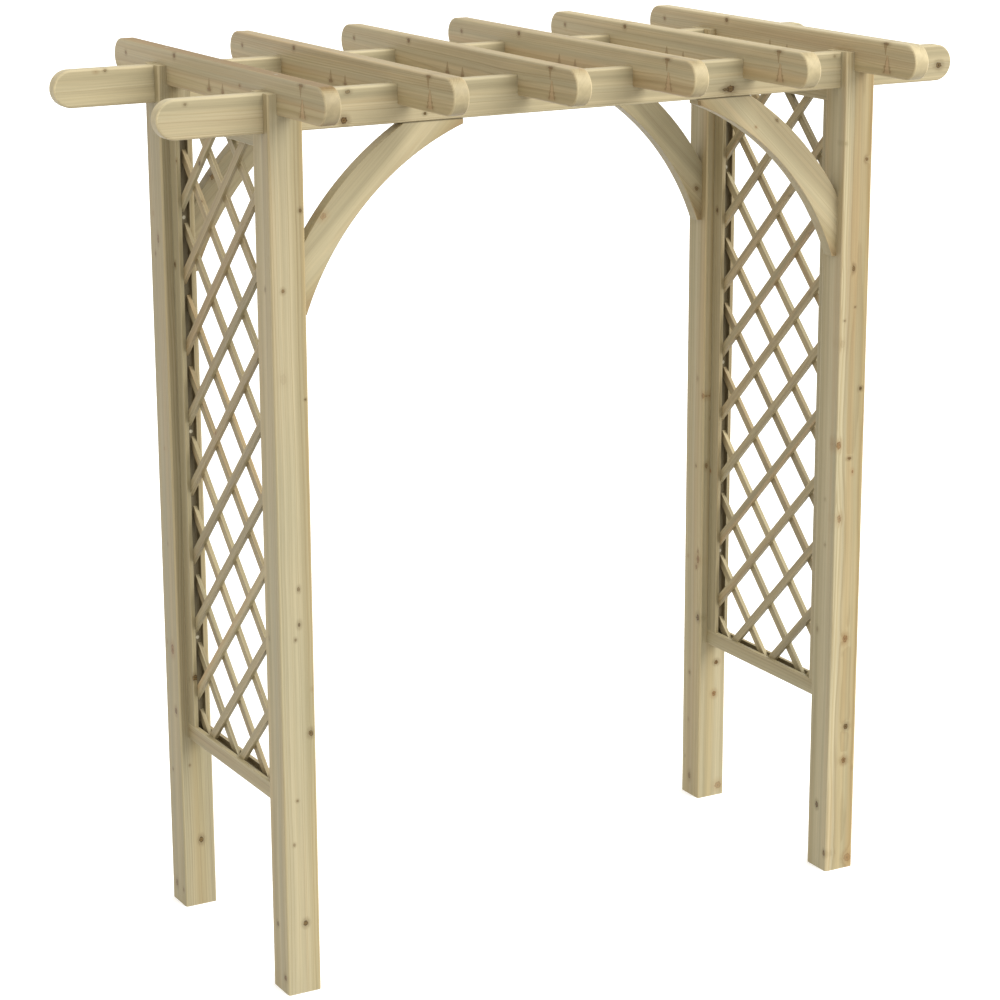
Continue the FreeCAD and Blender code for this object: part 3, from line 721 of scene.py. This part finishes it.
# Knots as (side, across from the middle, up from the bottom, radius, stretch, fade, warmth).
POST_KNOTS = {
    "post_front_left": [
        ("front", 0.035, 2.107, 0.0040, 1.3, 0.90, 0.1),
        ("front", -0.017, 1.907, 0.0045, 1.2, 0.80, 0.3),
        ("left", -0.007, 1.908, 0.0040, 1.5, 0.60, 0.2),
        ("front", -0.022, 1.682, 0.0090, 1.5, 0.15, 0.4),
        ("front", 0.038, 1.623, 0.0030, 1.0, 0.80, 0.1),
        ("front", 0.007, 1.125, 0.0040, 1.6, 0.70, 0.1),
        ("front", -0.005, 0.990, 0.0035, 1.3, 0.70, 0.1),
        ("left", 0.023, 0.982, 0.0040, 1.5, 0.40, 0.2),
        ("front", 0.033, 0.729, 0.0065, 1.3, 0.90, 0.1),
        ("front", -0.010, 0.548, 0.0035, 1.0, 0.70, 0.2),
        ("front", -0.022, 0.426, 0.0035, 1.2, 0.60, 0.2),
        ("front", 0.006, 0.199, 0.0065, 1.2, 0.95, 0.1),
        ("left", 0.013, 0.186, 0.0055, 1.2, 0.85, 0.1),
        ("left", -0.027, 0.044, 0.0065, 1.1, 0.90, 0.3),
        ("right", 0.010, 1.260, 0.0060, 1.4, 0.90, 0.3),
        ("rear", -0.015, 0.820, 0.0070, 1.3, 0.90, 0.2),
    ],
    "post_front_right": [
        ("front", -0.043, 2.150, 0.0040, 1.2, 0.35, 0.2),
        ("front", 0.028, 2.102, 0.0050, 1.1, 0.90, 0.3),
        ("front", -0.006, 1.798, 0.0055, 1.5, 0.90, 0.2),
        ("front", 0.003, 1.688, 0.0030, 1.0, 0.70, 0.2),
        ("front", -0.032, 1.652, 0.0030, 1.0, 0.70, 0.2),
        ("front", -0.037, 1.586, 0.0070, 1.6, 0.25, 0.6),
        ("front", 0.029, 1.451, 0.0050, 1.1, 1.00, 0.1),
        ("front", -0.040, 1.293, 0.0070, 1.8, 0.85, 0.8),
        ("front", -0.003, 1.251, 0.0060, 0.7, 0.90, 0.3),
        ("front", -0.032, 1.077, 0.0070, 1.7, 0.70, 0.8),
        ("front", 0.000, 0.713, 0.0085, 1.3, 0.85, 0.8),
        ("front", 0.011, 0.443, 0.0075, 1.1, 1.00, 0.1),
        ("front", 0.007, 0.339, 0.0075, 1.2, 0.95, 0.5),
        ("front", 0.030, 0.030, 0.0130, 1.0, 0.60, 0.9),
        ("left", 0.002, 1.125, 0.0040, 1.3, 0.30, 0.3),
        ("left", -0.003, 0.991, 0.0040, 1.3, 0.40, 0.3),
        ("left", 0.024, 0.730, 0.0050, 1.6, 0.45, 0.2),
        ("left", 0.004, 0.194, 0.0060, 1.5, 0.95, 0.1),
        ("left", -0.037, 0.055, 0.0050, 1.6, 0.90, 0.2),
        ("right", -0.012, 1.380, 0.0065, 1.3, 0.90, 0.4),
        ("right", 0.018, 0.660, 0.0050, 1.2, 0.90, 0.2),
    ],
    "post_rear_left": [
        ("left", 0.019, 1.997, 0.0050, 1.6, 0.30, 0.9),
        ("left", -0.010, 1.931, 0.0060, 2.0, 0.80, 0.4),
        ("left", 0.012, 1.887, 0.0040, 1.5, 0.60, 0.3),
        ("left", -0.003, 1.345, 0.0040, 1.3, 0.30, 0.9),
        ("left", -0.002, 1.072, 0.0040, 1.4, 0.35, 0.3),
        ("left", 0.026, 0.778, 0.0050, 1.5, 0.30, 0.5),
        ("left", -0.010, 0.766, 0.0090, 1.7, 0.90, 0.7),
        ("left", -0.020, 0.586, 0.0070, 1.3, 0.90, 0.3),
        ("left", 0.017, 0.400, 0.0035, 1.3, 0.70, 0.2),
        ("left", 0.017, 0.053, 0.0070, 1.5, 0.80, 0.3),
        ("left", -0.030, 0.047, 0.0040, 1.4, 0.70, 0.3),
        ("front", -0.023, 0.427, 0.0030, 1.2, 0.60, 0.2),
        ("front", 0.005, 0.197, 0.0065, 1.4, 0.95, 0.1),
        ("rear", 0.012, 1.520, 0.0065, 1.3, 0.90, 0.2),
        ("rear", -0.020, 0.610, 0.0050, 1.2, 0.80, 0.5),
    ],
    "post_rear_right": [
        ("left", -0.013, 1.346, 0.0050, 1.5, 0.35, 0.3),
        ("left", -0.042, 1.298, 0.0060, 1.5, 0.70, 0.9),
        ("left", -0.011, 1.072, 0.0035, 1.3, 0.60, 0.2),
        ("left", -0.028, 0.804, 0.0040, 1.8, 0.60, 0.5),
        ("left", -0.029, 0.778, 0.0080, 1.6, 0.80, 0.8),
        ("left", 0.026, 0.776, 0.0050, 1.3, 0.35, 0.9),
        ("left", -0.021, 0.752, 0.0050, 1.3, 0.70, 0.6),
        ("left", -0.033, 0.592, 0.0070, 1.4, 0.95, 0.1),
        ("left", 0.009, 0.401, 0.0045, 1.3, 0.60, 0.2),
        ("left", 0.013, 0.245, 0.0040, 1.4, 0.30, 0.3),
        ("left", 0.003, 0.061, 0.0060, 1.9, 0.70, 0.3),
        ("front", -0.034, 1.079, 0.0050, 1.8, 0.70, 0.4),
        ("front", 0.014, 0.441, 0.0075, 0.9, 1.00, 0.3),
        ("front", 0.007, 0.339, 0.0075, 1.2, 0.90, 0.8),
        ("front", 0.027, 0.031, 0.0120, 1.0, 0.60, 0.9),
        ("rear", 0.008, 1.180, 0.0070, 1.3, 0.90, 0.3),
        ("rear", 0.026, 0.300, 0.0055, 1.2, 0.90, 0.1),
    ],
}

RAIL_KNOTS = {
    "rail_front": [
        ("front", -1.124, 0.087, 0.0035, 1.2, 0.60, 0.1),
        ("front", -0.696, 0.018, 0.0085, 1.1, 1.00, 0.2),
        ("front", -0.684, 0.089, 0.0050, 1.4, 0.70, 0.1),
        ("front", -0.467, 0.020, 0.0035, 1.2, 1.00, 0.0),
        ("front", 0.460, 0.022, 0.0095, 1.2, 1.00, 0.2),
        ("front", 0.446, 0.021, 0.0045, 2.6, 0.90, 0.0),
        ("front", 0.800, 0.089, 0.0035, 1.2, 0.50, 0.1),
        ("front", 1.040, 0.037, 0.0040, 1.0, 0.60, 0.2),
        ("front", 1.156, 0.043, 0.0080, 1.2, 0.95, 0.1),
    ],
    "rail_rear": [
        ("front", -1.056, 0.094, 0.0035, 1.3, 0.70, 0.2),
        ("rear", -0.420, 0.060, 0.0080, 1.2, 0.90, 0.2),
        ("rear", 0.630, 0.030, 0.0060, 1.3, 0.90, 0.5),
    ],
}

RAFTER_KNOTS = [
    ("left", 0.580, 0.060, 0.0055, 1.1, 0.80, 0.5),
    ("left", 0.243, 0.085, 0.0065, 1.1, 0.90, 0.4),
    ("left", -0.535, 0.089, 0.0038, 3.0, 0.75, 0.3),
    ("left", -0.541, 0.013, 0.0040, 3.6, 0.40, 0.4),
    ("left", 0.018, 0.020, 0.0045, 2.4, 0.75, 0.4),
    ("left", -0.067, 0.020, 0.0045, 1.8, 0.75, 0.5),
    ("right", 0.350, 0.040, 0.0065, 1.2, 0.90, 0.2),
    ("right", -0.280, 0.062, 0.0050, 1.3, 0.80, 0.5),
]
# Branches cut along their length, as (side, across, up, run, length, width, fill).
RAFTER_SPIKES = [
    ("left", -0.532, 0.058, (0, 0, 1), 0.032, 0.015, SPIKE_DARK),
    ("left", -0.541, 0.058, (0, 0, -1), 0.050, 0.036, SPIKE_FILL),
    ("left", 0.018, 0.050, (0, 0, -1), 0.036, 0.020, SPIKE_DARK),
    ("left", -0.067, 0.044, (0, 0, -1), 0.026, 0.018, SPIKE_DARK),
]
RAFTER_END_KNOTS = {
    "rafter_2": [("front", -0.003, 0.046, 0.0075, 1.0, 1.00, 0.4)],
    "rafter_5": [("front", 0.009, 0.043, 0.0060, 1.0, 0.80, 0.1)],
}

BRACE_KNOTS = {
    "brace_front_left": [
        ("front", -0.169, 0.248, 0.0080, 1.2, 0.55, 0.9),
    ],
    "brace_front_right": [
        ("front", -0.044, 0.379, 0.0035, 1.2, 0.60, 0.9),
        ("front", 0.024, 0.393, 0.0040, 1.4, 0.70, 0.1),
        ("front", -0.229, 0.456, 0.0060, 1.2, 0.80, 0.1),
    ],
    "brace_rear_left": [("front", -0.167, 0.254, 0.0070, 1.3, 0.85, 0.2)],
    "brace_rear_right": [("front", 0.215, 0.095, 0.0060, 1.4, 0.80, 0.2)],
}

# Knots on the lattice, as (place in the row frame, radius), on faces that look along X.
STILE_SPOTS = {
    "trellis_left_stile_rear": [((-0.893, 0.250, 0.701), 0.0060), ((-0.893, 0.282, 1.867), 0.0055)],
    "trellis_right_stile_rear": [((0.847, 0.275, 1.867), 0.0055), ((0.847, 0.238, 1.923), 0.0060)],
}
LATH_SPOTS = {
    "trellis_left_outer_laths": [((-0.881, 0.123, 2.161), 0.0050)],
    "trellis_right_outer_laths": [((0.859, -0.082, 1.956), 0.0045), ((0.859, -0.185, 1.860), 0.0045)],
}


def give(name, material):
    """Puts one material on a CAD node."""
    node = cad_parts[name]
    node.data.materials.clear()
    node.data.materials.append(material)


def numbered(prefix):
    """The nodes named prefix and a number, in order."""
    return sorted(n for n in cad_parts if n.startswith(prefix) and n[-1].isdigit())


def dress_posts():
    """Bands run over the left and right faces from front to rear, then over the front and rear faces
    from left to right.
    """
    looks = {
        "post_front_left": dict(
            seed=1.3,
            pith=(0, 0.070, 0.020),
            shade=1.00,
            bands=(
                (STRAW, STRAW, PLAIN, STRAW, TAN, TAN),
                (PLAIN, CREAM, CREAM, PLAIN, CREAM, PLAIN, STRAW, STRAW, OCHRE),
            ),
        ),
        "post_front_right": dict(
            seed=5.1,
            pith=(0, 0.010, 0.080),
            shade=1.06,
            warmth=0.4,
            bands=(
                (CREAM, CREAM, CREAM, PLAIN, STRAW, OLIVE),
                (PLAIN, PALE, CREAM, TAN, TAN, STRAW, TAN, OCHRE, TAN),
            ),
        ),
        "post_rear_left": dict(
            seed=9.7,
            pith=(0, -0.080, 0.030),
            shade=0.89,
            bands=(
                (STRAW, TAN, STRAW, PLAIN, TAN, PLAIN),
                (PLAIN, CREAM, TAN, STRAW, CREAM, OLIVE),
            ),
        ),
        "post_rear_right": dict(
            seed=14.2,
            pith=(0, 0.060, -0.060),
            shade=1.06,
            warmth=0.35,
            bands=(
                (TAN, TAN, PLAIN, STRAW, PLAIN),
                (PLAIN, PLAIN, TAN, TAN, CREAM, CREAM, OLIVE, OLIVE),
            ),
        ),
    }
    for name, look in looks.items():
        knots = placed_knots(name, POST_KNOTS[name])
        give(name, softwood(name, ALONG_Z, knots=knots, **look))


def dress_rails():
    """Bands run over the front and rear faces from bottom to top."""
    bands = ((CREAM, PALE, PLAIN, CREAM, PLAIN, OLIVE, PLAIN), (PLAIN, PLAIN))
    for index, name in enumerate(("rail_front", "rail_rear")):
        give(
            name,
            softwood(
                name,
                ALONG_X,
                seed=21.0 + 3.7 * index,
                knots=placed_knots(name, RAIL_KNOTS[name]),
                bands=bands,
                shade=1.06,
                warmth=0.15,
            ),
        )


def dress_rafters():
    """Bands run over the left and right faces from top to bottom, then over the top and bottom faces."""
    sides = (PLAIN, ROSE, PLAIN, ROSE, TAN, ROSE)
    tops = (
        (AMBER, AMBER, AMBER),
        (TAN, BROWN, TAN),
        (BROWN, TAN),
        (BROWN, TAN),
        (TAN, STRAW),
        (PLAIN, CREAM),
    )
    shades = (1.00, 1.00, 1.00, 1.00, 1.04, 1.08)
    end_tones = (0.82, 0.90, 1.00, 1.02, 1.06, 1.16)
    for index, name in enumerate(numbered("rafter_")):
        give(
            name,
            softwood(
                name,
                ALONG_Y,
                seed=31.0 + 2.9 * index,
                knots=placed_knots(name, RAFTER_KNOTS + RAFTER_END_KNOTS.get(name, [])),
                spikes=placed_spikes(name, RAFTER_SPIKES),
                bands=(sides, tops[index]),
                shade=shades[index],
                end_tone=end_tones[index],
                green=0.18,
                warmth=0.45,
            ),
        )


def dress_braces():
    """Bands run from behind the hollow edge out to the corner, across the straight grain."""
    behind = (TAN,) * 6
    outward = behind + (RUST, TAN, PALE, PALE, OLIVE, OLIVE, OLIVE)
    shades = {
        "brace_front_left": 0.97,
        "brace_front_right": 1.02,
        "brace_rear_left": 0.74,
        "brace_rear_right": 0.90,
    }
    for index, name in enumerate(BRACE_KNOTS):
        left = name.endswith("left")
        give(
            name,
            softwood(
                name,
                Vector((1 if left else -1, 0, 1)).normalized(),
                seed=61.0 + 4.3 * index,
                bands=(outward if left else outward[::-1], (STRAW, PLAIN)),
                band_reach=0.15,
                knots=placed_knots(name, BRACE_KNOTS[name]),
                shade=shades[name],
                contrast=0.7,
                crevice_shade=0.0035,
            ),
        )


def spot_knots(spots):
    """Knots from (place, radius) on faces that look along X."""
    stretch, fade, warmth = 1.3, 0.95, 0.1
    return [(Vector(place), ALONG_X, radius, stretch, fade, warmth) for place, radius in spots]


def dress_panels():
    """The lattice panels: their grooved stiles and rails, and the laths."""
    frame_bands = ((STRAW, TAN, STRAW, PLAIN), (STRAW, OLIVE, TAN))
    lath_bands = ((TAN, STRAW, TAN), (STRAW, STRAW))
    for index, name in enumerate(sorted(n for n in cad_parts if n.startswith("trellis_"))):
        seed = 80.0 + 1.7 * index
        if "stile" in name:
            give(
                name,
                softwood(
                    name,
                    ALONG_Z,
                    seed,
                    bands=frame_bands,
                    knots=spot_knots(STILE_SPOTS.get(name, [])),
                    shade=0.86,
                    groove=GROOVE_HALF_WIDTH,
                ),
            )
        elif "rail" in name:
            give(
                name,
                softwood(
                    name,
                    ALONG_Y,
                    seed,
                    bands=frame_bands,
                    shade=0.92,
                    groove=GROOVE_HALF_WIDTH,
                ),
            )
        elif "laths" in name:
            give(
                name,
                softwood(
                    name,
                    RISING if "inner" in name else FALLING,
                    seed,
                    bands=lath_bands,
                    knots=spot_knots(LATH_SPOTS.get(name[:-2], [])),
                    warmth=0.6,
                    shade=0.84,
                    contrast=1.4,
                    pin_share=0.45,
                    laths=True,
                ),
            )


def dress_fasteners():
    """One plated steel for every screw and staple."""
    steel = zinc_steel("zinc_steel")
    for name in sorted(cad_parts):
        if name.endswith(("_screws", "_staples")):
            give(name, steel)


# The brace as the CAD has it: its legs, blunt tips, the radius and centre of its hollow edge, and its
# screw holes, which lie PLUG_INSET from the tips with their heads PLUG_COVER below the straight edges.
BRACE_LEG = 0.466
BRACE_BLUNT = 0.014
HOLLOW_RADIUS = 0.765
HOLLOW_CENTRE = (
    BRACE_LEG
    + BRACE_BLUNT
    + math.sqrt(
        (BRACE_LEG + BRACE_BLUNT) ** 2 - 2 * (BRACE_LEG**2 + BRACE_BLUNT**2 - HOLLOW_RADIUS**2)
    )
) / 2
PLUG_INSET = 0.062
PLUG_COVER = 0.026
PLUG_RADIUS = 0.0049
PLUG_SIDES = 24
HEAD_CLEARANCE = 0.0006
PLUG_SUNK = 0.0003


def hollow_depth(off):
    """How deep the hollow edge of a brace lies below a leg, this far from the corner."""
    return HOLLOW_CENTRE - math.sqrt(HOLLOW_RADIUS**2 - (off - HOLLOW_CENTRE) ** 2)


def make_plug(name, brace, corner, off_axis, in_axis):
    """A round plug that runs from just over a screw head to just under the hollow edge of the brace."""
    inner_ring = []
    outer_ring = []
    for step in range(PLUG_SIDES):
        turn = 2 * math.pi * step / PLUG_SIDES
        off = BRACE_LEG - PLUG_INSET + PLUG_RADIUS * math.cos(turn)
        edge = corner + off_axis * off + ALONG_Y * PLUG_RADIUS * math.sin(turn)
        inner_ring.append(edge + in_axis * (PLUG_COVER + HEAD_CLEARANCE))
        outer_ring.append(edge + in_axis * (hollow_depth(off) - PLUG_SUNK))
    steps = range(PLUG_SIDES)
    walls = []
    for this in steps:
        after = (this + 1) % PLUG_SIDES
        walls.append((this, after, PLUG_SIDES + after, PLUG_SIDES + this))
    ends = [tuple(steps)[::-1], tuple(range(PLUG_SIDES, 2 * PLUG_SIDES))]
    mesh = bpy.data.meshes.new(name)
    mesh.from_pydata(inner_ring + outer_ring, [], walls + ends)
    shape = bmesh.new()
    shape.from_mesh(mesh)
    bmesh.ops.recalc_face_normals(shape, faces=shape.faces)
    shape.to_mesh(mesh)
    shape.free()
    mesh.materials.append(bpy.data.materials[brace])
    plug = bpy.data.objects.new(name, mesh)
    bpy.context.scene.collection.objects.link(plug)
    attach(plug, "root")


def make_brace_plugs():
    """A timber plug over each of the two screws of a brace."""
    for brace in BRACE_KNOTS:
        low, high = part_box(brace)
        toward = 1 if brace.endswith("left") else -1
        corner = Vector((low.x if toward > 0 else high.x, (low.y + high.y) / 2, high.z))
        into, down = Vector((toward, 0, 0)), Vector((0, 0, -1))
        make_plug(f"{brace}_rail_plug", brace, corner, into, down)
        make_plug(f"{brace}_post_plug", brace, corner, down, into)


def make_floor():
    """A pale floor that glows a little and sends no diffuse light up, so that it renders white."""
    half = 60.0
    white = (1.0, 1.0, 1.0, 1.0)
    corners = [(-half, -half, 0), (half, -half, 0), (half, half, 0), (-half, half, 0)]
    mesh = bpy.data.meshes.new("floor")
    mesh.from_pydata(corners, [], [(0, 1, 2, 3)])
    floor = bpy.data.objects.new("floor", mesh)
    bpy.context.scene.collection.objects.link(floor)
    material = bpy.data.materials.new("pale_floor")
    material.use_nodes = True
    surface = material.node_tree.nodes["Principled BSDF"]
    surface.inputs["Base Color"].default_value = (0.97, 0.97, 0.97, 1.0)
    surface.inputs["Roughness"].default_value = 0.9
    surface.inputs["Specular IOR Level"].default_value = 0.0
    surface.inputs["Emission Color"].default_value = white
    surface.inputs["Emission Strength"].default_value = 0.3
    mesh.materials.append(material)
    floor.visible_diffuse = False


def make_sun(name, coming_from, level, angle):
    """A wide soft light; `level` is what it adds to a white surface that faces it."""
    data = bpy.data.lights.new(name, "SUN")
    data.energy = level * math.pi
    data.angle = math.radians(angle)
    light = bpy.data.objects.new(name, data)
    light.rotation_euler = Vector(coming_from).to_track_quat("Z", "Y").to_euler()
    bpy.context.scene.collection.objects.link(light)


def make_world(above, below):
    """Slightly warm white light all round, weaker from below."""
    warm_white = (1.0, 0.990, 0.965, 1.0)
    blend = 0.25
    world = bpy.data.worlds.new("studio")
    bpy.context.scene.world = world
    world.use_nodes = True
    s = Shader(world.node_tree)
    coordinates = s.node("ShaderNodeTexCoord")
    _, _, height = s.split(coordinates.outputs["Generated"])
    background = world.node_tree.nodes["Background"]
    background.inputs["Color"].default_value = warm_white
    s.feed(background.inputs["Strength"], s.remap(height, -blend, blend, below, above))


def make_camera():
    """Looks over the front left corner; heading runs from +Y towards +X, angles are in radians."""
    place = Vector((-3.9099, -6.9329, 3.3158))
    heading, tilt, roll = 0.508, -0.2652, -0.0041
    ahead = Vector(
        (math.sin(heading) * math.cos(tilt), math.cos(heading) * math.cos(tilt), math.sin(tilt))
    )
    right = Vector((math.cos(heading), -math.sin(heading), 0.0))
    up = right.cross(ahead)
    rolled_right = right * math.cos(roll) + up * math.sin(roll)
    rolled_up = up * math.cos(roll) - right * math.sin(roll)
    data = bpy.data.cameras.new("camera")
    data.sensor_width = 36.0
    data.lens = 105.18
    data.clip_end = 300.0
    camera = bpy.data.objects.new("camera", data)
    turn = Matrix((rolled_right, rolled_up, -ahead)).transposed().to_4x4()
    camera.matrix_world = Matrix.Translation(place) @ turn
    bpy.context.scene.collection.objects.link(camera)
    bpy.context.scene.camera = camera


dress_posts()
dress_rails()
dress_rafters()
dress_braces()
dress_panels()
dress_fasteners()
make_brace_plugs()
make_floor()
make_world(above=1.04, below=0.62)
make_sun("key", coming_from=(0.45, -0.65, 0.65), level=0.75, angle=50)
make_camera()
bpy.context.scene.view_settings.view_transform = "Standard"
